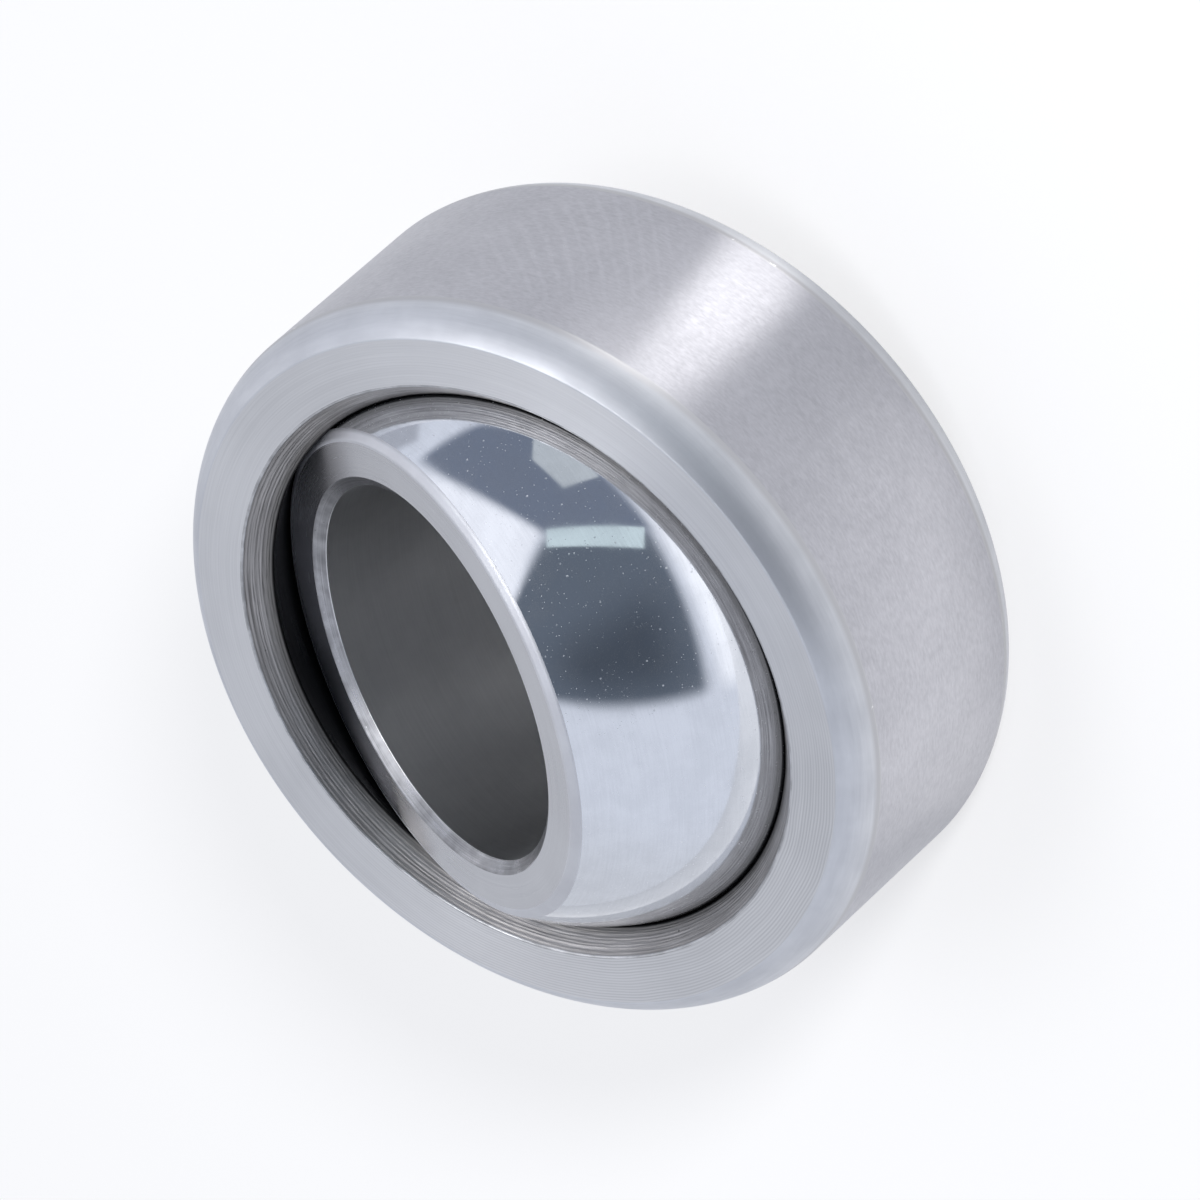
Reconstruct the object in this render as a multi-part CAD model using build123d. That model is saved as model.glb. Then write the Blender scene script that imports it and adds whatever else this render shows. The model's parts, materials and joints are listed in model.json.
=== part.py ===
from build123d import *
import os
from math import atan2, cos, degrees, hypot, radians, sin, sqrt, tan

# Spherical plain bearing of the two-piece kind: a ball with a bore, and one ring swaged round it.
# Millimetres, +Z up, origin at the centre of the ball, where every swivel axis crosses.
# It lies on a table with the ball swivelled in the ring, so that the low rim of the ring and
# the low rim of the ball both touch the table. X is the swivel axis.

# Outer ring. Its wall is the least thickness, in the middle of the race.
ring_wall = 2.34
ring_width = 9.8
edge_inset = 0.8
edge_depth = 1.25
edge_radius = 2.0
race_width = 8.2
mouth_angle = 41.0
mouth_break = 0.06
lip_break = 0.07

# Inner ring, which is the ball. Its land is the flat of a side face, from chamfer to broken edge.
bore_diameter = 12.7
bore_chamfer_width = 0.38
bore_chamfer_depth = 0.28
ball_width = 12.7
ball_land = 1.27
ball_edge_width = 0.25
ball_edge_depth = 0.15

# Fit, and how far the ball is swivelled in the ring as it lies
race_clearance = 0.04
swivel_angle = 24.3

# Half sizes of the ball's section. The shoulder is where the sphere ends at the broken edge.
bore_radius = bore_diameter / 2
bore_mouth_radius = bore_radius + bore_chamfer_width
ball_face_z = ball_width / 2
bore_end_z = ball_face_z - bore_chamfer_depth
ball_face_radius = bore_mouth_radius + ball_land
shoulder_radius = ball_face_radius + ball_edge_width
shoulder_z = ball_face_z - ball_edge_depth
ball_radius = hypot(shoulder_radius, shoulder_z)

# Half sizes of the ring's section. The race is a band of a sphere, and the lip is its end.
race_radius = ball_radius + race_clearance
ring_radius = race_radius + ring_wall
ring_face_z = ring_width / 2
ring_face_radius = ring_radius - edge_inset
edge_z = ring_face_z - edge_depth
lip_z = race_width / 2
lip_radius = sqrt(race_radius**2 - lip_z**2)
mouth_radius = lip_radius + (ring_face_z - lip_z) * tan(radians(mouth_angle))


def resting_lean():
    """The ring's lean in degrees at which its rim and the ball's rim are equally low."""
    swivel = radians(swivel_angle)
    upright = ring_face_z - ball_face_z * cos(swivel) - ball_face_radius * sin(swivel)
    sideways = ring_face_radius - ball_face_z * sin(swivel) + ball_face_radius * cos(swivel)
    return degrees(atan2(-upright, sideways))


def turned(section, breaks=()):
    """A ring turned about Z from a section drawn as radius and height, with some corners broken."""
    with BuildPart() as blank:
        with BuildSketch(Plane.XZ) as sketch:
            add(section)
            for corners, size in breaks:
                sharp = [v for v in sketch.vertices() if near_any(v, corners)]
                chamfer(sharp, size)
        revolve(axis=Axis.Z)
    return blank.part


def near_any(vertex, corners):
    """Whether a vertex of a section drawn in the XZ plane is one of the given corners."""
    return any(abs(vertex.X - r) + abs(vertex.Y - z) < 1e-6 for r, z in corners)


def outer_ring_section():
    with BuildSketch() as sketch:
        with BuildLine():
            ThreePointArc((lip_radius, -lip_z), (race_radius, 0), (lip_radius, lip_z))
            Line((ring_radius, -edge_z), (ring_radius, edge_z))
            for side in (1, -1):
                Line((lip_radius, side * lip_z), (mouth_radius, side * ring_face_z))
                Line((mouth_radius, side * ring_face_z), (ring_face_radius, side * ring_face_z))
                RadiusArc(
                    (ring_face_radius, side * ring_face_z),
                    (ring_radius, side * edge_z),
                    side * edge_radius,
                )
        make_face()
    return sketch.sketch


def inner_ring_section():
    with BuildSketch() as sketch:
        with BuildLine():
            ThreePointArc((shoulder_radius, -shoulder_z), (ball_radius, 0), (shoulder_radius, shoulder_z))
            Line((bore_radius, -bore_end_z), (bore_radius, bore_end_z))
            for side in (1, -1):
                Polyline(
                    (shoulder_radius, side * shoulder_z),
                    (ball_face_radius, side * ball_face_z),
                    (bore_mouth_radius, side * ball_face_z),
                    (bore_radius, side * bore_end_z),
                )
        make_face()
    return sketch.sketch


# The ring: the race with its two lips, a flared mouth outside each, flat faces and rounded edges
lips = [(lip_radius, lip_z), (lip_radius, -lip_z)]
mouths = [(mouth_radius, ring_face_z), (mouth_radius, -ring_face_z)]
outer_ring = turned(outer_ring_section(), [(lips, lip_break), (mouths, mouth_break)])

# The ball: flat side faces with broken edges, and a straight bore with a chamfer at each end
inner_ring = turned(inner_ring_section())

# Both lean about X as they lie: the ring's axis towards -Y and the bore's axis towards +Y
ring_lean = resting_lean()
ball_lean = swivel_angle - ring_lean
outer_ring = Rot(X=ring_lean) * outer_ring
inner_ring = Rot(X=-ball_lean) * inner_ring

os.makedirs("parts", exist_ok=True)
for name, solid in {"outer_ring": outer_ring, "inner_ring": inner_ring}.items():
    export_step(solid, f"parts/{name}.step")
    print(name, "volume", round(solid.volume, 1), "mm3")
print("ball", round(2 * ball_radius, 3), "mm, ring", round(2 * ring_radius, 3), "mm")
print("ring lean", round(ring_lean, 3), "ball lean", round(ball_lean, 3))
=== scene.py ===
import json
from math import atan2, cos, hypot, pi, radians, sin, sqrt, tan

import bmesh
import bpy
from mathutils import Matrix, Vector
from mathutils.kdtree import KDTree

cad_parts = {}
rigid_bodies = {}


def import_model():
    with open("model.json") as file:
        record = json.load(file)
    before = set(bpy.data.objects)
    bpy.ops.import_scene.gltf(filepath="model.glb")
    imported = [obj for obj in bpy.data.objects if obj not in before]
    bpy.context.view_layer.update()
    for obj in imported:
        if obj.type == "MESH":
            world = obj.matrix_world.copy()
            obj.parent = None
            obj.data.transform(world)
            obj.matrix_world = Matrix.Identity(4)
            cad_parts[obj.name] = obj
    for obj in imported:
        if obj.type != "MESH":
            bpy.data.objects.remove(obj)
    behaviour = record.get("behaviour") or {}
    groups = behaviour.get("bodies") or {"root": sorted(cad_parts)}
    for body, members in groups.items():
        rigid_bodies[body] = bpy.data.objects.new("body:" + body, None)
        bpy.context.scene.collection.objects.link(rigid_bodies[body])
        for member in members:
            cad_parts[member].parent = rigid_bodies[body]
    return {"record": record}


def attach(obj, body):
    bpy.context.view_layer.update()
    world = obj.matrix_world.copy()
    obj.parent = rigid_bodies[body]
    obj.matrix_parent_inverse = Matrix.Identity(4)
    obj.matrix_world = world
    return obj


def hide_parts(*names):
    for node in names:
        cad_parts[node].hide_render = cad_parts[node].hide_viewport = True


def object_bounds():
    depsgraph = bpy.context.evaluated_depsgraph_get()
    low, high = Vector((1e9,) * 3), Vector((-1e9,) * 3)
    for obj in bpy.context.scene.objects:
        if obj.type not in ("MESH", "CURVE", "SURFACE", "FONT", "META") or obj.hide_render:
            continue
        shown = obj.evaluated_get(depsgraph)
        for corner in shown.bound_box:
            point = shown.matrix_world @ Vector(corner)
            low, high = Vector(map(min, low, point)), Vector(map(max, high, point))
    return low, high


# A spherical plain bearing at rest on a pale table, with its ball swivelled in the ring.
# Lengths are millimetres until they reach Blender, which takes metres.
MM = 0.001

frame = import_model()
cad_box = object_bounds()

mounts = {mount["name"]: mount for mount in frame["record"]["mounts"]}
bore_axis = Vector(mounts["bore"]["axis"])
ring_axis = Vector(mounts["housing_seat"]["axis"])
bore_radius = mounts["bore"]["dims"]["r_mm"]
ring_radius = mounts["housing_seat"]["dims"]["r_mm"]

# The outer ring's section, as radii and heights over its middle. The wall is the least thickness.
ring_wall = 2.34
edge_inset = 0.8
edge_depth = 1.25
edge_round = 2.0
mouth_angle = 41
ring_face_z = 4.9
ring_face_radius = ring_radius - edge_inset
edge_z = ring_face_z - edge_depth
race_radius = ring_radius - ring_wall
lip_z = 4.1
lip_radius = sqrt(race_radius**2 - lip_z**2)
mouth_radius = lip_radius + (ring_face_z - lip_z) * tan(radians(mouth_angle))

# The ball's section. The land is the flat of a side face, from the chamfer to the broken edge.
ball_face_z = 6.35
chamfer_width = 0.38
chamfer_depth = 0.28
ball_land = 1.27
broken_width = 0.25
broken_depth = 0.15
bore_mouth_radius = bore_radius + chamfer_width
ball_face_radius = bore_mouth_radius + ball_land
shoulder_radius = ball_face_radius + broken_width
shoulder_z = ball_face_z - broken_depth
ball_radius = hypot(shoulder_radius, shoulder_z)

# How far each corner is rounded, along both of its sides
lip_round = 0.04
mouth_round = 0.03
face_rim_round = 0.035
outside_rim_round = 0.03
ball_rim_round = 0.06
bore_rim_round = 0.02

# Turning grooves of the mouth: their widths from lip to face, and their depth as a share of width
groove_widths = (1.0, 0.6, 1.3, 0.8, 1.1, 0.7, 1.4, 0.9)
groove_depth = 0.09

# Steps of a full turn when a section is spun, the least gap between points of a section, and the
# gap under which vertices are welded
turn_steps = 336
least_step = 0.004
weld_gap = 0.003


# Sections

def arc(centre, radius, start, end, steps):
    """Points on an arc of a section, from one angle to another."""
    angles = [start + (end - start) * i / steps for i in range(steps + 1)]
    return [(centre[0] + radius * cos(a), centre[1] + radius * sin(a)) for a in angles]


def arc_through(start, end, radius, steps):
    """Points on the arc that bulges outwards and up between two corners of a section."""
    middle = Vector(((start[0] + end[0]) / 2, (start[1] + end[1]) / 2))
    chord = Vector((end[0] - start[0], end[1] - start[1]))
    inward = Vector((chord.y, -chord.x)).normalized()
    centre = middle + inward * sqrt(radius**2 - chord.length_squared / 4)
    first = atan2(start[1] - centre.y, start[0] - centre.x)
    last = atan2(end[1] - centre.y, end[0] - centre.x)
    return arc(centre, radius, first, last, steps)


def broken(before, corner, after, size, steps=4, support=0.025):
    """A corner rounded over size, with a loop close to each end to keep the flats flat."""
    corner, points = Vector(corner), []
    back = (Vector(before) - corner).normalized()
    on = (Vector(after) - corner).normalized()
    points.append(corner + back * (size + support))
    for i in range(steps + 1):
        t = i / steps
        points.append(corner + back * size * (1 - t) ** 2 + on * size * t**2)
    points.append(corner + on * (size + support))
    return [tuple(p) for p in points]


def grooved(start, end, widths, points_each=5):
    """A cone's line with one scalloped turning groove for each width, cut into the metal below it."""
    start, end = Vector(start), Vector(end)
    along = (end - start).normalized()
    below = Vector((along.y, -along.x))
    scale = (end - start).length / sum(widths)
    points, done = [], 0.0
    for width in widths:
        for i in range(points_each):
            t = i / points_each
            sunk = groove_depth * width * scale * 4 * t * (1 - t)
            points.append(tuple(start + along * (done + t * width) * scale + below * sunk))
        done += width
    points.append(tuple(end))
    return points


def flat_run(start, end, height, steps):
    """Points along a flat face of a section, from one radius to another."""
    return [(start + (end - start) * i / steps, height) for i in range(steps + 1)]


def both_halves(half):
    """The closed section from its upper half, which runs from the inside to the outside."""
    lower = [(finish, [(r, -z) for r, z in reversed(run)]) for finish, run in reversed(half)]
    return half + lower


def ring_section():
    """The outer ring's section. The race stops just short of the lip, which is rounded."""
    lip_angle = atan2(lip_z, lip_radius)
    below_lip = lip_angle - 0.004
    race_end = (race_radius * cos(below_lip), race_radius * sin(below_lip))
    lip = (lip_radius, lip_z)
    mouth = (mouth_radius, ring_face_z)
    face_rim = (ring_face_radius, ring_face_z)
    outside_rim = (ring_radius, edge_z)
    lip_break = broken(race_end, lip, mouth, lip_round)
    mouth_break = broken(lip, mouth, face_rim, mouth_round)
    edge = arc_through(face_rim, outside_rim, edge_round, steps=16)
    rim_break = broken(mouth, face_rim, edge[1], face_rim_round)
    outside_break = broken(edge[-2], outside_rim, (ring_radius, 0), outside_rim_round)
    race = arc((0, 0), race_radius, 0, lip_angle - 0.012, steps=14)
    face = flat_run(mouth_break[-1][0], rim_break[0][0], ring_face_z, steps=6)
    return both_halves([
        ("race", race + lip_break[:2]),
        ("mouth", lip_break[1:-1] + grooved(lip_break[-1], mouth_break[0], groove_widths)),
        ("burr", mouth_break),
        ("face", face),
        ("edge", rim_break + edge[1:-1] + outside_break[:-1]),
        ("outside", outside_break[-2:] + [(ring_radius, edge_z * i / 4) for i in (3, 2, 1, 0)]),
    ])


def ball_section():
    """The ball's section. The band starts just short of the shoulder, which is rounded."""
    shoulder = (shoulder_radius, shoulder_z)
    face_rim = (ball_face_radius, ball_face_z)
    bore_mouth = (bore_mouth_radius, ball_face_z)
    bore_end = (bore_radius, ball_face_z - chamfer_depth)
    shoulder_angle = atan2(shoulder_z, shoulder_radius)
    band = arc((0, 0), ball_radius, shoulder_angle - 0.008, 0, steps=26)
    shoulder_break = broken(face_rim, shoulder, band[0], ball_rim_round)
    face_break = broken(bore_mouth, face_rim, shoulder, ball_rim_round)
    mouth_break = broken(bore_end, bore_mouth, face_rim, bore_rim_round)
    bore_break = broken((bore_radius, 0), bore_end, bore_mouth, bore_rim_round)
    bore = [(bore_radius, bore_break[0][1] * i / 5) for i in range(6)]
    face = flat_run(mouth_break[-1][0], face_break[0][0], ball_face_z, steps=5)
    return both_halves([
        ("bore", bore + bore_break[:-1]),
        ("chamfer", bore_break[-2:] + mouth_break[:-1]),
        ("side", mouth_break[-2:] + face),
        ("shoulder", face_break + shoulder_break),
        ("band", shoulder_break[-1:] + band),
    ])


# Turned pieces

def turned(name, section, finishes):
    """A closed section drawn edge by edge, spun about Z and given a finish for each of its runs."""
    path, segments = [], []
    for finish, run in section:
        for point in run:
            if path:
                last = path[-1]
                if hypot(point[0] - last[0], point[1] - last[1]) < least_step:
                    continue
                segments.append(((point[0] + last[0]) / 2, (point[1] + last[1]) / 2, finish))
            path.append(point)
    # A small plane merged to one vertex, from which the section is drawn
    bpy.ops.object.select_all(action="DESELECT")
    bpy.ops.mesh.primitive_plane_add(size=0.1 * MM, location=(path[0][0] * MM, 0, path[0][1] * MM))
    piece = bpy.context.active_object
    piece.name = piece.data.name = name
    bpy.ops.object.transform_apply(location=True)
    bpy.ops.object.mode_set(mode="EDIT")
    bpy.ops.mesh.select_mode(type="VERT")
    bpy.ops.mesh.select_all(action="SELECT")
    bpy.ops.mesh.merge(type="CENTER")
    for start, end in zip(path, path[1:]):
        step = ((end[0] - start[0]) * MM, 0, (end[1] - start[1]) * MM)
        bpy.ops.mesh.extrude_vertices_move(TRANSFORM_OT_translate={"value": step})
    bpy.ops.mesh.select_all(action="SELECT")
    bpy.ops.mesh.remove_doubles(threshold=weld_gap * MM)
    bpy.ops.mesh.spin(steps=turn_steps, angle=2 * pi, center=(0, 0, 0), axis=(0, 0, 1))
    bpy.ops.mesh.select_all(action="SELECT")
    bpy.ops.mesh.remove_doubles(threshold=weld_gap * MM)
    bpy.ops.mesh.normals_make_consistent(inside=False)
    bpy.ops.object.mode_set(mode="OBJECT")
    bpy.ops.object.shade_smooth()
    give_finishes(piece, segments, finishes)
    return piece


def give_finishes(piece, segments, finishes):
    """Each face takes the finish of the run of the section that it was spun from."""
    tree = KDTree(len(segments))
    for i, (r, z, finish) in enumerate(segments):
        tree.insert((r * MM, z * MM, 0), i)
    tree.balance()
    names = list(finishes)
    for finish in names:
        piece.data.materials.append(finishes[finish])
    for face in piece.data.polygons:
        r, z = hypot(face.center.x, face.center.y), face.center.z
        nearest = tree.find((r, z, 0))[1]
        face.material_index = names.index(segments[nearest][2])


def roughen(piece, finish, offset, seed):
    """Faces of one finish moved at random by up to offset, as a coarse tool leaves them."""
    index = piece.data.materials.find(finish)
    bpy.ops.object.select_all(action="DESELECT")
    bpy.context.view_layer.objects.active = piece
    piece.select_set(True)
    bpy.ops.object.mode_set(mode="EDIT")
    bpy.ops.mesh.select_mode(type="FACE")
    mesh = bmesh.from_edit_mesh(piece.data)
    for face in mesh.faces:
        face.select_set(face.material_index == index)
    bmesh.update_edit_mesh(piece.data)
    bpy.ops.mesh.select_less()
    bpy.ops.transform.vertex_random(offset=offset * MM, uniform=1.0, normal=0.0, seed=seed)
    bpy.ops.object.mode_set(mode="OBJECT")


def lean(piece, axis):
    """The piece turned about X so that its axis points the way it does in the frame."""
    piece.rotation_euler = (atan2(-axis.y, axis.z), 0, 0)
    bpy.ops.object.select_all(action="DESELECT")
    bpy.context.view_layer.objects.active = piece
    piece.select_set(True)
    bpy.ops.object.transform_apply(location=True, rotation=True, scale=True)


# Nodes

def put(tree, kind, inputs=(), **settings):
    """A node with its settings made and its inputs filled or linked."""
    node = tree.nodes.new(kind)
    for name, value in settings.items():
        setattr(node, name, value)
    for socket, value in dict(inputs).items():
        if isinstance(value, bpy.types.NodeSocket):
            tree.links.new(value, node.inputs[socket])
        else:
            node.inputs[socket].default_value = value
    return node


def maths(tree, operation, *values, clamp=False):
    node = put(tree, "ShaderNodeMath", enumerate(values), operation=operation, use_clamp=clamp)
    return node.outputs[0]


def vector_maths(tree, operation, *values):
    return put(tree, "ShaderNodeVectorMath", enumerate(values), operation=operation)


def ramp(tree, value, low, high, to_low=0.0, to_high=1.0, smooth=True):
    """A value mapped from one range to another and held at the ends."""
    kind = "SMOOTHSTEP" if smooth else "LINEAR"
    inputs = {"Value": value, "From Min": low, "From Max": high, "To Min": to_low, "To Max": to_high}
    return put(tree, "ShaderNodeMapRange", inputs, interpolation_type=kind).outputs["Result"]


def mixed(tree, factor, a, b):
    """One colour blended into another by a mask."""
    return put(tree, "ShaderNodeMix", {0: factor, 6: a, 7: b}, data_type="RGBA").outputs[2]


def mixed_value(tree, factor, a, b):
    """One value blended into another by a mask."""
    return put(tree, "ShaderNodeMix", {0: factor, 2: a, 3: b}, data_type="FLOAT").outputs[0]


def noise(tree, vector, scale, detail=2.0, rough=0.5):
    """Cloudy noise from 0 to 1."""
    inputs = {"Vector": vector, "Scale": scale, "Detail": detail, "Roughness": rough}
    return put(tree, "ShaderNodeTexNoise", inputs).outputs["Fac"]


def new_group(name, inputs, outputs):
    """An empty node group with named sockets, and the nodes that stand for its two ends."""
    tree = bpy.data.node_groups.new(name, "ShaderNodeTree")
    for socket, kind, value in inputs:
        made = tree.interface.new_socket(socket, in_out="INPUT", socket_type=kind)
        if value is not None:
            made.default_value = value
    for socket, kind in outputs:
        tree.interface.new_socket(socket, in_out="OUTPUT", socket_type=kind)
    return tree, tree.nodes.new("NodeGroupInput"), tree.nodes.new("NodeGroupOutput")


def turning_lines_group():
    """Lines that a tool or wheel leaves round the axis: they change fast across and slowly along."""
    tree, given, result = new_group(
        "turning_lines",
        [("Position", "NodeSocketVector", None), ("Across", "NodeSocketFloat", 0.0),
         ("Pitch", "NodeSocketFloat", 0.1), ("Length", "NodeSocketFloat", 6.0)],
        [("Lines", "NodeSocketFloat")],
    )
    place = put(tree, "ShaderNodeSeparateXYZ", {0: given.outputs["Position"]})
    slow_x = maths(tree, "DIVIDE", place.outputs[0], given.outputs["Length"])
    slow_y = maths(tree, "DIVIDE", place.outputs[1], given.outputs["Length"])
    fast = maths(tree, "DIVIDE", given.outputs["Across"], given.outputs["Pitch"])
    stretched = put(tree, "ShaderNodeCombineXYZ", {0: slow_x, 1: slow_y, 2: fast}).outputs[0]
    tree.links.new(noise(tree, stretched, 1.0, 3.0, 0.6), result.inputs["Lines"])
    return tree


def specks_group():
    """Small scattered pits or specks: dots of uneven size at a given spacing."""
    tree, given, result = new_group(
        "specks",
        [("Position", "NodeSocketVector", None), ("Spacing", "NodeSocketFloat", 0.4),
         ("Size", "NodeSocketFloat", 0.1), ("Share", "NodeSocketFloat", 0.5)],
        [("Specks", "NodeSocketFloat")],
    )
    spread = maths(tree, "DIVIDE", 1.0, given.outputs["Spacing"])
    cells = put(tree, "ShaderNodeTexVoronoi", {"Vector": given.outputs["Position"], "Scale": spread})
    pick = put(tree, "ShaderNodeSeparateColor", {0: cells.outputs["Color"]})
    chosen = maths(tree, "LESS_THAN", pick.outputs[0], given.outputs["Share"])
    reach = maths(tree, "MULTIPLY", maths(tree, "MULTIPLY", given.outputs["Size"], 0.5), spread)
    uneven = ramp(tree, pick.outputs[1], 0.0, 1.0, 0.35, 1.0, smooth=False)
    size = maths(tree, "MULTIPLY", reach, uneven)
    edge = maths(tree, "MULTIPLY", size, 0.35)
    inside = ramp(tree, cells.outputs["Distance"], edge, size, 1.0, 0.0, smooth=False)
    tree.links.new(maths(tree, "MULTIPLY", inside, chosen), result.inputs["Specks"])
    return tree


def handling_group():
    """Soft uneven patches, as handling and oil leave on bare steel."""
    tree, given, result = new_group(
        "handling",
        [("Position", "NodeSocketVector", None), ("Patch", "NodeSocketFloat", 3.0)],
        [("Patches", "NodeSocketFloat")],
    )
    spread = maths(tree, "DIVIDE", 1.0, given.outputs["Patch"])
    cloudy = noise(tree, given.outputs["Position"], spread, 3.0, 0.55)
    tree.links.new(ramp(tree, cloudy, 0.3, 0.7), result.inputs["Patches"])
    return tree


def feed_and_shade_group():
    """Evenly spaced grooves of a single-point tool, strongest towards one side of the face, which
    they also darken as painted shade.
    """
    tree, given, result = new_group(
        "feed_grooves_and_shade",
        [("Position", "NodeSocketVector", None), ("Across", "NodeSocketFloat", 0.0),
         ("Pitch", "NodeSocketFloat", 0.1), ("Towards", "NodeSocketVector", None)],
        [("Grooves", "NodeSocketFloat")],
    )
    wobble = noise(tree, given.outputs["Position"], 0.35, 1.0)
    phase = maths(tree, "MULTIPLY_ADD", wobble, 0.25, given.outputs["Across"])
    turns = maths(tree, "DIVIDE", phase, given.outputs["Pitch"])
    wave = maths(tree, "SINE", maths(tree, "MULTIPLY", turns, 2 * pi))
    outward = vector_maths(tree, "NORMALIZE", given.outputs["Position"]).outputs["Vector"]
    facing = vector_maths(tree, "DOT_PRODUCT", outward, given.outputs["Towards"]).outputs["Value"]
    strength = ramp(tree, facing, 0.25, 0.85, 0.12, 1.0)
    # The grooves sit below zero on average, so the side they favour is darker: painted shade.
    sunk = maths(tree, "SUBTRACT", wave, 0.8)
    tree.links.new(maths(tree, "MULTIPLY", sunk, strength), result.inputs["Grooves"])
    return tree


def chatter_group():
    """A patch of slanting curved marks from a wheel that vibrated, fading out round its middle."""
    tree, given, result = new_group(
        "chatter",
        [("Position", "NodeSocketVector", None), ("Middle", "NodeSocketVector", None),
         ("Reach", "NodeSocketFloat", 3.0), ("Pitch", "NodeSocketFloat", 0.7)],
        [("Chatter", "NodeSocketFloat")],
    )
    place = put(tree, "ShaderNodeSeparateXYZ", {0: given.outputs["Position"]})
    bow = maths(tree, "MULTIPLY", maths(tree, "MULTIPLY", place.outputs[1], place.outputs[1]), 0.05)
    slant = maths(tree, "SUBTRACT", maths(tree, "ADD", place.outputs[1], place.outputs[2]), bow)
    wobble = noise(tree, given.outputs["Position"], 0.8, 2.0)
    phase = maths(tree, "MULTIPLY_ADD", wobble, 0.5, slant)
    turns = maths(tree, "DIVIDE", phase, given.outputs["Pitch"])
    wave = maths(tree, "SINE", maths(tree, "MULTIPLY", turns, 2 * pi))
    crest = ramp(tree, wave, 0.2, 1.0)
    apart = vector_maths(tree, "DISTANCE", given.outputs["Position"], given.outputs["Middle"])
    away = maths(tree, "DIVIDE", apart.outputs["Value"], given.outputs["Reach"])
    near = ramp(tree, away, 0.35, 1.0, 1.0, 0.0)
    tree.links.new(maths(tree, "MULTIPLY", crest, near), result.inputs["Chatter"])
    return tree


turning_lines = turning_lines_group()
specks = specks_group()
handling = handling_group()
feed_grooves_and_shade = feed_and_shade_group()
chatter = chatter_group()


def group_value(tree, group, inputs):
    """The one output of an effect, placed with its own values."""
    return put(tree, "ShaderNodeGroup", inputs, node_tree=group).outputs[0]


# Broad bands under a tool's fine lines: how much wider and longer than a line they are, and their
# share of the whole
band_pitch = 5
band_length = 1.5
band_share = 0.22


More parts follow.
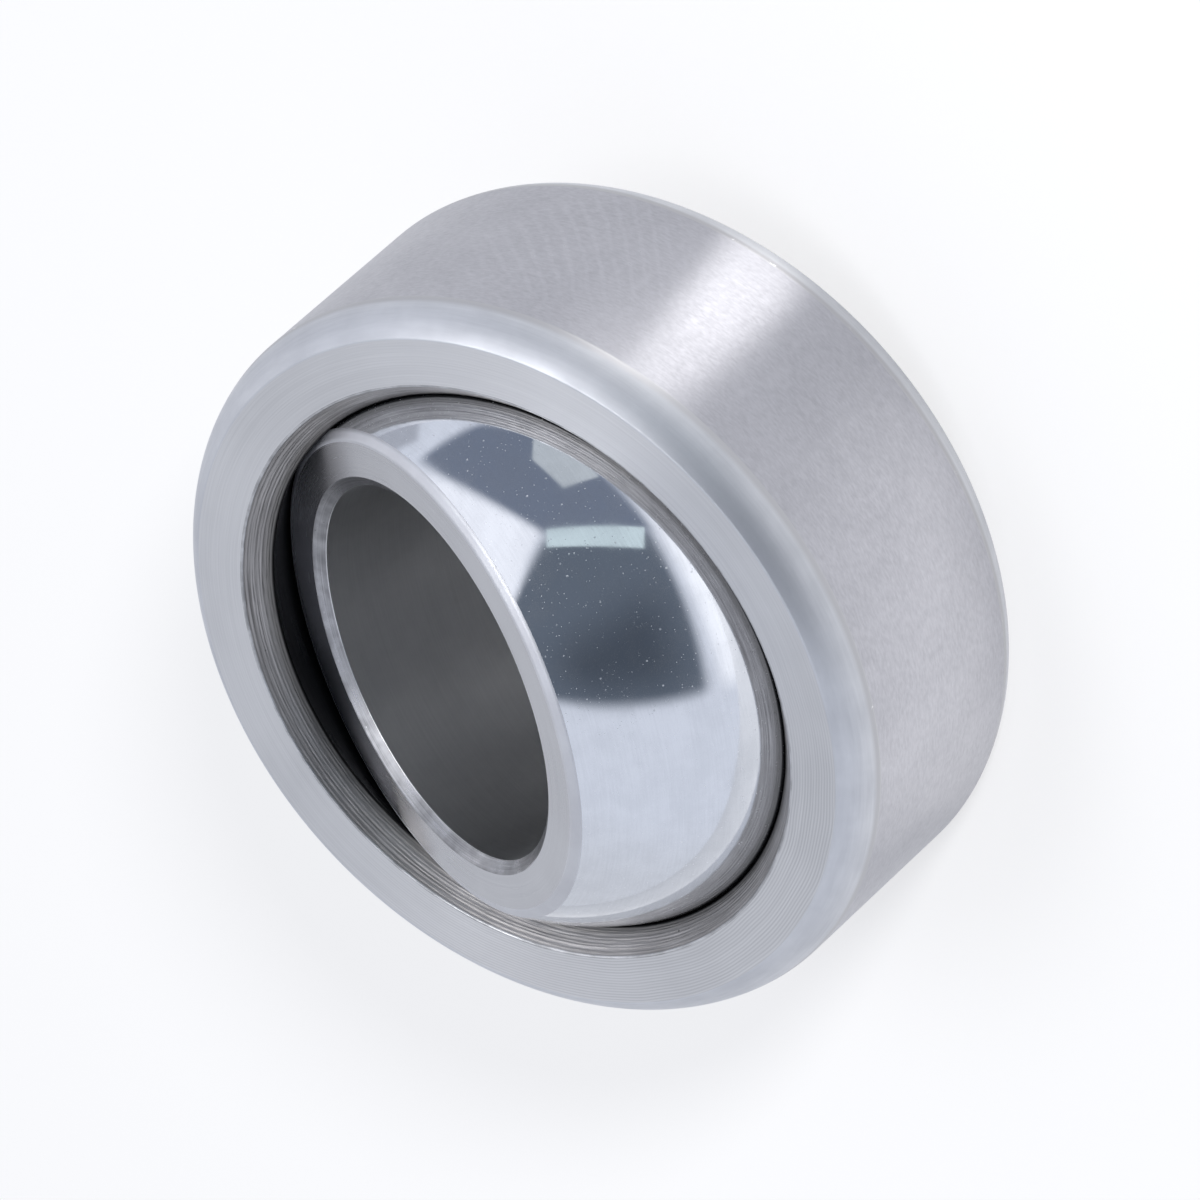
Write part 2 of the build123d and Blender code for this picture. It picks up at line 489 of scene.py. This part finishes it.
def steel(name, axis, grain, tone, rough, lines, uneven, marks=(), rims=(), feed_and_shade=None, arcs=None,
          anisotropic=0.0, relief=0.0, haze=0.0):
    """A bare steel finish about a piece's own axis, in millimetres.

    grain is the direction across the lines, as a share of radius and of height. tone is the
    darkest and the lightest colour, and rough the smoothest and the roughest value. lines is the
    pitch, length and strength of the tool's lines, and uneven the size and strength of handling
    patches. marks is a list of specks: spacing, size, share, colour and added roughness. rims is a
    list of narrow bands along a corner, which here carry painted shade and painted highlights:
    where it lies across the lines, its reach, colour and roughness, and how finely it is broken up.
    feed_and_shade is the pitch, strength and side of a tool's grooves, which also paint shade on
    that side, and arcs the middle, reach, pitch and strength of a patch of chatter. relief is the
    height of the lines, and haze the weight of a thin film of oil.
    """
    material = bpy.data.materials.new(name)
    material.use_nodes = True
    tree = material.node_tree
    tree.nodes.clear()
    where = put(tree, "ShaderNodeTexCoord").outputs["Object"]
    turn = atan2(axis.y, axis.z)
    upright = {"Vector": where, "Rotation": (turn, 0, 0), "Scale": (1 / MM, 1 / MM, 1 / MM)}
    place = put(tree, "ShaderNodeMapping", upright).outputs[0]
    parts = put(tree, "ShaderNodeSeparateXYZ", {0: place})
    flat = put(tree, "ShaderNodeCombineXYZ", {0: parts.outputs[0], 1: parts.outputs[1]}).outputs[0]
    radius = vector_maths(tree, "LENGTH", flat).outputs["Value"]
    height = maths(tree, "ABSOLUTE", parts.outputs[2])
    across = maths(tree, "MULTIPLY_ADD", height, grain[1], maths(tree, "MULTIPLY", radius, grain[0]))

    pitch, length, strength = lines
    one_line = {"Position": place, "Across": across, "Pitch": pitch, "Length": length}
    fine = ramp(tree, group_value(tree, turning_lines, one_line), 0.3, 0.7, smooth=False)
    one_band = {"Position": place, "Across": across,
                "Pitch": pitch * band_pitch, "Length": length * band_length}
    broad = ramp(tree, group_value(tree, turning_lines, one_band), 0.3, 0.7, smooth=False)
    fine = maths(tree, "MULTIPLY", fine, 1 - band_share)
    line = maths(tree, "MULTIPLY_ADD", broad, band_share, fine)
    patch = group_value(tree, handling, {"Position": place, "Patch": uneven[0]})

    light = maths(tree, "MULTIPLY_ADD", maths(tree, "SUBTRACT", line, 0.5), strength, 0.5)
    patchy = maths(tree, "SUBTRACT", patch, 0.5)
    light = maths(tree, "MULTIPLY_ADD", patchy, uneven[1], light, clamp=True)
    if feed_and_shade:
        spacing, depth, towards = feed_and_shade
        cut = {"Position": flat, "Across": across, "Pitch": spacing, "Towards": towards}
        grooves = group_value(tree, feed_grooves_and_shade, cut)
        light = maths(tree, "MULTIPLY_ADD", grooves, depth, light)
    if arcs:
        middle, reach, spacing, depth = arcs
        wheel = {"Position": place, "Middle": middle, "Reach": reach, "Pitch": spacing}
        curved = group_value(tree, chatter, wheel)
        light = maths(tree, "MULTIPLY_ADD", curved, depth, light)
    colour = mixed(tree, light, (*tone[0], 1), (*tone[1], 1))
    dark = maths(tree, "SUBTRACT", 1.0, light)
    shine = maths(tree, "MULTIPLY_ADD", dark, rough[1] - rough[0], rough[0])
    for spacing, size, share, dot_tone, dot_rough in marks:
        crowd = ramp(tree, patch, 0.0, 1.0, share * 0.4, share * 1.6, smooth=False)
        dotted = {"Position": place, "Spacing": spacing, "Size": size, "Share": crowd}
        dots = group_value(tree, specks, dotted)
        colour = mixed(tree, dots, colour, (*dot_tone, 1))
        shine = maths(tree, "MULTIPLY_ADD", dots, dot_rough, shine)
    # Rims paint light along corners: the dark ones are painted shade, the bright broken ones worn
    # nicks that carry painted glints.
    for at, reach, rim_tone, rim_rough, broken_up in rims:
        away = maths(tree, "ABSOLUTE", maths(tree, "SUBTRACT", across, at))
        rim = ramp(tree, away, reach * 0.3, reach, 1.0, 0.0)
        if broken_up:
            nicks_and_glints = ramp(tree, noise(tree, place, broken_up, 5.0, 0.75), 0.63, 0.7)
            rim = maths(tree, "MULTIPLY", rim, nicks_and_glints)
        colour = mixed(tree, rim, colour, (*rim_tone, 1))
        shine = mixed_value(tree, rim, shine, rim_rough)

    surface = {"Metallic": 1.0, "Base Color": colour, "Roughness": shine}
    shader = put(tree, "ShaderNodeBsdfPrincipled", surface)
    if anisotropic:
        around = vector_maths(tree, "CROSS_PRODUCT", tuple(axis), where)
        along = vector_maths(tree, "NORMALIZE", around.outputs["Vector"])
        shader.inputs["Anisotropic"].default_value = anisotropic
        shader.inputs["Anisotropic Rotation"].default_value = 0.25
        tree.links.new(along.outputs["Vector"], shader.inputs["Tangent"])
    if relief:
        bump = put(tree, "ShaderNodeBump", {"Height": line, "Strength": 1.0, "Distance": relief * MM})
        tree.links.new(bump.outputs["Normal"], shader.inputs["Normal"])
    if haze:
        film = ramp(tree, light, 0.2, 0.8, haze, haze * 0.3, smooth=False)
        tree.links.new(film, shader.inputs["Coat Weight"])
        shader.inputs["Coat Roughness"].default_value = 0.4
    put(tree, "ShaderNodeOutputMaterial", {"Surface": shader.outputs[0]})
    return material


# Finishes of the outer ring

outside = steel(
    "ground_outside", ring_axis, grain=(0, 1), tone=((0.44, 0.44, 0.475), (0.56, 0.56, 0.60)),
    rough=(0.28, 0.38), lines=(0.08, 0.25, 0.8), uneven=(3, 0.2), anisotropic=0.7, relief=0.0004,
    arcs=((12.4, -1.6, -0.4), 4.5, 0.73, 0.2),
)
edge = steel(
    "burnished_edge", ring_axis, grain=(0.5, 0.8), tone=((0.64, 0.65, 0.68), (0.78, 0.79, 0.82)),
    rough=(0.42, 0.54), lines=(0.06, 2, 0.5), uneven=(1.8, 0.4), anisotropic=0.5, relief=0.0006,
    # The dark rim along the outside is painted shade; the broken near-white rim beside it is worn
    # nicks that also carry painted glints.
    rims=[(9.27, 0.2, (0.54, 0.54, 0.56), 0.36, 0), (9.29, 0.08, (0.97, 0.97, 0.98), 0.3, 0.6)],
)
face = steel(
    "turned_face", ring_axis, grain=(1, 0), tone=((0.63, 0.63, 0.64), (0.85, 0.85, 0.86)),
    rough=(0.28, 0.40), lines=(0.04, 6, 0.4), uneven=(6, 0.3), anisotropic=0.75, relief=0.0008,
    # The feed grooves also darken the face towards one side as painted shade.
    marks=[(1.6, 0.09, 0.3, (0.35, 0.35, 0.35), 0.1)], feed_and_shade=(0.1, 0.3, (-0.87, -0.5, 0)),
)
mouth = steel(
    "coarse_turned_mouth", ring_axis, grain=(0.66, 0.75),
    tone=((0.26, 0.25, 0.245), (0.58, 0.56, 0.55)),
    rough=(0.42, 0.58), lines=(0.05, 3, 0.9), uneven=(1.5, 0.15), relief=0.003,
    marks=[(0.5, 0.10, 0.3, (0.08, 0.075, 0.07), 0.2)],
    # Both rims along the lip are painted shade: a darker band down the mouth and a near-black line
    # where the gap to the ball falls.
    rims=[(9.35, 0.5, (0.24, 0.23, 0.22), 0.45, 0), (9.35, 0.13, (0.015, 0.015, 0.015), 0.5, 0)],
)
burr = steel(
    "mouth_burr", ring_axis, grain=(1, 0), tone=((0.40, 0.40, 0.405), (0.70, 0.70, 0.71)),
    rough=(0.4, 0.55), lines=(0.03, 3, 1.0), uneven=(0.8, 0.8),
)
# The race is painted near-black, as painted shade for the narrow gap where it shows.
race = steel(
    "lapped_race", ring_axis, grain=(0, 1), tone=((0.10, 0.10, 0.105), (0.16, 0.16, 0.165)),
    rough=(0.25, 0.35), lines=(0.05, 6, 0.8), uneven=(2, 0.4),
)

# Finishes of the ball

band = steel(
    "polished_band", bore_axis, grain=(0, 1), tone=((0.79, 0.81, 0.85), (0.86, 0.88, 0.92)),
    rough=(0.045, 0.085), lines=(0.07, 1.5, 0.8), uneven=(1.0, 0.9), relief=0.00008, haze=1.0,
    marks=[(0.28, 0.10, 0.5, (0.93, 0.95, 0.97), 0.4), (0.13, 0.055, 0.8, (0.93, 0.95, 0.97), 0.4)],
)
side = steel(
    "turned_side_face", bore_axis, grain=(1, 0), tone=((0.59, 0.59, 0.61), (0.74, 0.74, 0.76)),
    rough=(0.22, 0.30), lines=(0.04, 5, 0.4), uneven=(3, 0.25), anisotropic=0.2, relief=0.0002,
    marks=[(0.8, 0.07, 0.3, (0.3, 0.3, 0.3), 0.2)],
)
shoulder = steel(
    "broken_edge", bore_axis, grain=(0.5, 0.8), tone=((0.64, 0.64, 0.67), (0.76, 0.77, 0.80)),
    rough=(0.42, 0.54), lines=(0.04, 4, 0.4), uneven=(1.5, 0.4),
)
chamfer = steel(
    "bore_chamfer", bore_axis, grain=(0.6, 0.8), tone=((0.25, 0.25, 0.26), (0.50, 0.50, 0.52)),
    rough=(0.24, 0.38), lines=(0.04, 4, 0.9), uneven=(1, 0.8),
    marks=[(0.3, 0.10, 0.4, (0.15, 0.15, 0.15), 0.2)],
    # The broken bright rim at the chamfer's outer edge is a painted highlight.
    rims=[(9.02, 0.05, (0.82, 0.82, 0.84), 0.26, 0.7)],
)
bore = steel(
    "honed_bore", bore_axis, grain=(0, 1), tone=((0.62, 0.62, 0.62), (0.80, 0.80, 0.80)),
    rough=(0.26, 0.38), lines=(0.05, 3, 0.4), uneven=(2, 0.4), anisotropic=0.3,
)


# The two pieces

ring_finishes = {
    "race": race, "mouth": mouth, "burr": burr, "face": face, "edge": edge, "outside": outside,
}
outer_ring = turned("spun_outer_ring", ring_section(), ring_finishes)
roughen(outer_ring, "coarse_turned_mouth", offset=0.006, seed=7)
lean(outer_ring, ring_axis)
ball_finishes = {"bore": bore, "chamfer": chamfer, "side": side, "shoulder": shoulder, "band": band}
inner_ring = turned("spun_ball", ball_section(), ball_finishes)
lean(inner_ring, bore_axis)
pieces = [(outer_ring, "outer_ring", "ground_steel"), (inner_ring, "inner_ring", "polished_steel")]
for piece, node, slot in pieces:
    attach(piece, node)
    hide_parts(node)


# Table

def oval(tree, place, middle, bearing, half_length, half_width, strength):
    """A soft oval of painted light on the table, which the steel mirrors."""
    inputs = {"Vector": place, "Location": (middle[0] * MM, middle[1] * MM, 0),
              "Rotation": (0, 0, radians(bearing)), "Scale": (half_length * MM, half_width * MM, 1)}
    inside = put(tree, "ShaderNodeMapping", inputs, vector_type="TEXTURE").outputs[0]
    out = vector_maths(tree, "DOT_PRODUCT", inside, inside).outputs["Value"]
    return ramp(tree, out, 0.0, 1.0, strength, 0.0)


table_size = 0.4
table_z = cad_box[0][2]
bpy.ops.object.select_all(action="DESELECT")
bpy.ops.mesh.primitive_plane_add(size=table_size, location=(0, 0, table_z))
table = bpy.context.active_object
table.name = "pale_table"
paint = bpy.data.materials.new("pale_table")
paint.use_nodes = True
table.data.materials.append(paint)
tree = paint.node_tree
shader = tree.nodes["Principled BSDF"]
shader.inputs["Base Color"].default_value = (0.60, 0.60, 0.605, 1)
shader.inputs["Roughness"].default_value = 0.7
shader.inputs["Specular IOR Level"].default_value = 0.2

# The paint takes the shadow. The camera sees it partly as a pale light of its own, and so does
# the steel, round the bearing but not under it, where the bore would mirror it.
camera_share = 0.55
steel_share = 0.25
path = put(tree, "ShaderNodeLightPath")
from_middle = put(tree, "ShaderNodeTexCoord").outputs["Object"]
away = vector_maths(tree, "LENGTH", from_middle).outputs["Value"]
beside = ramp(tree, away, 9 * MM, 14 * MM)
near = ramp(tree, away, 50 * MM, 85 * MM, steel_share, 0.0)
mirrored = maths(tree, "MULTIPLY", path.outputs["Is Glossy Ray"], beside)
share = maths(tree, "MULTIPLY_ADD", path.outputs["Is Camera Ray"], camera_share,
              maths(tree, "MULTIPLY", mirrored, near))
pale = put(tree, "ShaderNodeEmission", {"Color": (0.99, 0.99, 1.0, 1), "Strength": 1.2})
shown = put(tree, "ShaderNodeMixShader", {0: share, 1: shader.outputs[0], 2: pale.outputs[0]})

# Ovals of painted light, as pools of light that only the steel mirrors: middle, bearing, half length,
# half width and strength
ovals = [
    ((17.2, -6), -15, 7.0, 3.7, 0.5),  # the streak across the outside
    ((36, -10), -15, 12.0, 10.9, 0.45),  # the far end of the streak
    ((34, -5), 70, 10.0, 7.0, 0.5),  # the shine on the rounded edge beside it
    ((-3, -13), 0, 16.0, 8.0, 0.13),  # the low side of the ring
]
painted_light_pools = 0.0
for shape in ovals:
    painted_light_pools = maths(tree, "ADD", painted_light_pools, oval(tree, from_middle, *shape))
painted_light_pools = maths(tree, "MULTIPLY", painted_light_pools, mirrored)
warm = mixed(tree, painted_light_pools, (0, 0, 0, 1), (1.0, 0.98, 0.95, 1))
glow = put(tree, "ShaderNodeEmission", {"Color": warm, "Strength": 3.0})
lit = put(tree, "ShaderNodeAddShader", {0: shown.outputs[0], 1: glow.outputs[0]})
tree.links.new(lit.outputs[0], tree.nodes["Material Output"].inputs["Surface"])


# Light: a white studio with a dark opening on the camera's side

def sky(azimuth, elevation):
    """A direction, by degrees round from +X and degrees up from the table."""
    a, e = radians(azimuth), radians(elevation)
    return Vector((cos(a) * cos(e), sin(a) * cos(e), sin(e)))


def panel(tree, direction, corners, soft):
    """A mask over the directions inside a convex outline, given by its corners in order."""
    dirs = [sky(*corner) for corner in corners]
    middle = sum(dirs, Vector()).normalized()
    mask = None
    for start, end in zip(dirs, dirs[1:] + dirs[:1]):
        wall = start.cross(end).normalized()
        if wall.dot(middle) < 0:
            wall = -wall
        depth = vector_maths(tree, "DOT_PRODUCT", direction, tuple(wall)).outputs["Value"]
        inside = ramp(tree, depth, -soft, soft)
        mask = inside if mask is None else maths(tree, "MULTIPLY", mask, inside)
    return mask


# The panels of the room that the steel mirrors: corners, colour and how soft the edge is.
# A later one covers an earlier one.
panels = [
    # A grey screen low down at the back, with a white card over it
    ([(46, 14), (52, 1), (95, 1), (80, 14)], (0.42, 0.44, 0.50, 1), 0.03),
    ([(72, 17), (72, 36), (100, 36), (98, 17)], (1.05, 1.06, 1.12, 1), 0.04),
    # The dark side of the room, its darkest part, and the less dark part next to it
    ([(-21, 33), (-44, 4), (-70, 5), (-104, 7), (-100, 60), (-60, 78), (-30, 58)],
     (0.12, 0.145, 0.185, 1), 0.06),
    ([(-64, 14), (-98, 14), (-96, 52), (-70, 56)], (0.065, 0.08, 0.105, 1), 0.2),
    ([(31, 27), (42, 20), (26, 8), (7, 5), (-20, 3), (-46, 3), (-20, 33)],
     (0.165, 0.195, 0.26, 1), 0.045),
    # The white wall under them and the soft box over them
    ([(-104, 5.5), (-70, 4.5), (-44, 3.5), (20, 2), (20, -20), (-44, -30), (-104, -20)],
     (1.06, 1.08, 1.14, 1), 0.08),
    ([(-19.5, 32.4), (48, 20), (60, 50), (0, 80), (-45, 68)], (0.98, 1.0, 1.07, 1), 0.04),
    # A five-sided window and a long pale bar
    ([(6.6, 7), (1.3, 13.8), (-14.6, 16), (-20.2, 5.2), (-8, 2)], (0.52, 0.56, 0.60, 1), 0.008),
    ([(-20.6, 30.3), (-43.4, 5.1), (-49.4, 9.4), (-25.7, 34.9)], (0.62, 0.73, 0.77, 1), 0.006),
]
pale_room = (0.69, 0.725, 0.81, 1)
dim_room = (0.62, 0.64, 0.69, 1)
behind_object = sky(135, 10)
seen_by_camera = (0.99, 0.99, 1.0, 1)

world = bpy.data.worlds.new("studio")
bpy.context.scene.world = world
world.use_nodes = True
tree = world.node_tree
tree.nodes.clear()
direction = put(tree, "ShaderNodeTexCoord").outputs["Generated"]
behind = vector_maths(tree, "DOT_PRODUCT", direction, tuple(behind_object)).outputs["Value"]
light = mixed(tree, ramp(tree, behind, 0.2, 0.95), pale_room, dim_room)
for corners, tint, soft in panels:
    light = mixed(tree, panel(tree, direction, corners, soft), light, tint)
path = put(tree, "ShaderNodeLightPath")
seen = mixed(tree, path.outputs["Is Camera Ray"], light, seen_by_camera)
background = put(tree, "ShaderNodeBackground", {"Color": seen, "Strength": 1.0})
put(tree, "ShaderNodeOutputWorld", {"Surface": background.outputs[0]})


def lamp(name, azimuth, elevation, distance, size, power, mirrored):
    """A soft round lamp that shines on the middle of the bearing. The steel may mirror it or not."""
    data = bpy.data.lights.new(name, "AREA")
    data.shape = "DISK"
    data.size = size
    data.energy = power
    lit = bpy.data.objects.new(name, data)
    towards = sky(azimuth, elevation)
    lit.location = towards * distance
    lit.rotation_euler = towards.to_track_quat("Z", "Y").to_euler()
    lit.visible_glossy = mirrored
    bpy.context.scene.collection.objects.link(lit)


lamp("key", azimuth=8, elevation=68, distance=0.5, size=0.26, power=0.48, mirrored=True)
lamp("front", azimuth=-49, elevation=25, distance=0.5, size=0.07, power=2.7, mirrored=False)


# Camera

def camera_turn(azimuth, elevation, roll):
    """The camera's own axes as a matrix, from where it stands and how far it is rolled."""
    a, e, r = radians(azimuth), radians(elevation), radians(roll)
    back = Vector((sin(a) * cos(e), -cos(a) * cos(e), sin(e)))
    level = Vector((cos(a), sin(a), 0))
    upright = back.cross(level)
    right = level * cos(r) - upright * sin(r)
    up = upright * cos(r) + level * sin(r)
    return Matrix((right, up, back)).transposed()


# Where the camera stands, in degrees and millimetres, and how far beside the middle it aims
camera_azimuth, camera_elevation, camera_roll = 34.162, 31.934, 121.057
camera_distance = 480.42
aim_right, aim_up = 0.0359, -0.0688
turn = camera_turn(camera_azimuth, camera_elevation, camera_roll)
right, up, back = turn.col
camera_data = bpy.data.cameras.new("camera")
camera_data.lens = 459.485
camera_data.sensor_width = 36
camera_data.clip_start = 0.01
camera = bpy.data.objects.new("camera", camera_data)
bpy.context.scene.collection.objects.link(camera)
stand = (right * aim_right + up * aim_up + back * camera_distance) * MM
camera.matrix_world = Matrix.Translation(stand) @ turn.to_4x4()
bpy.context.scene.camera = camera

bpy.context.scene.view_settings.view_transform = "Standard"
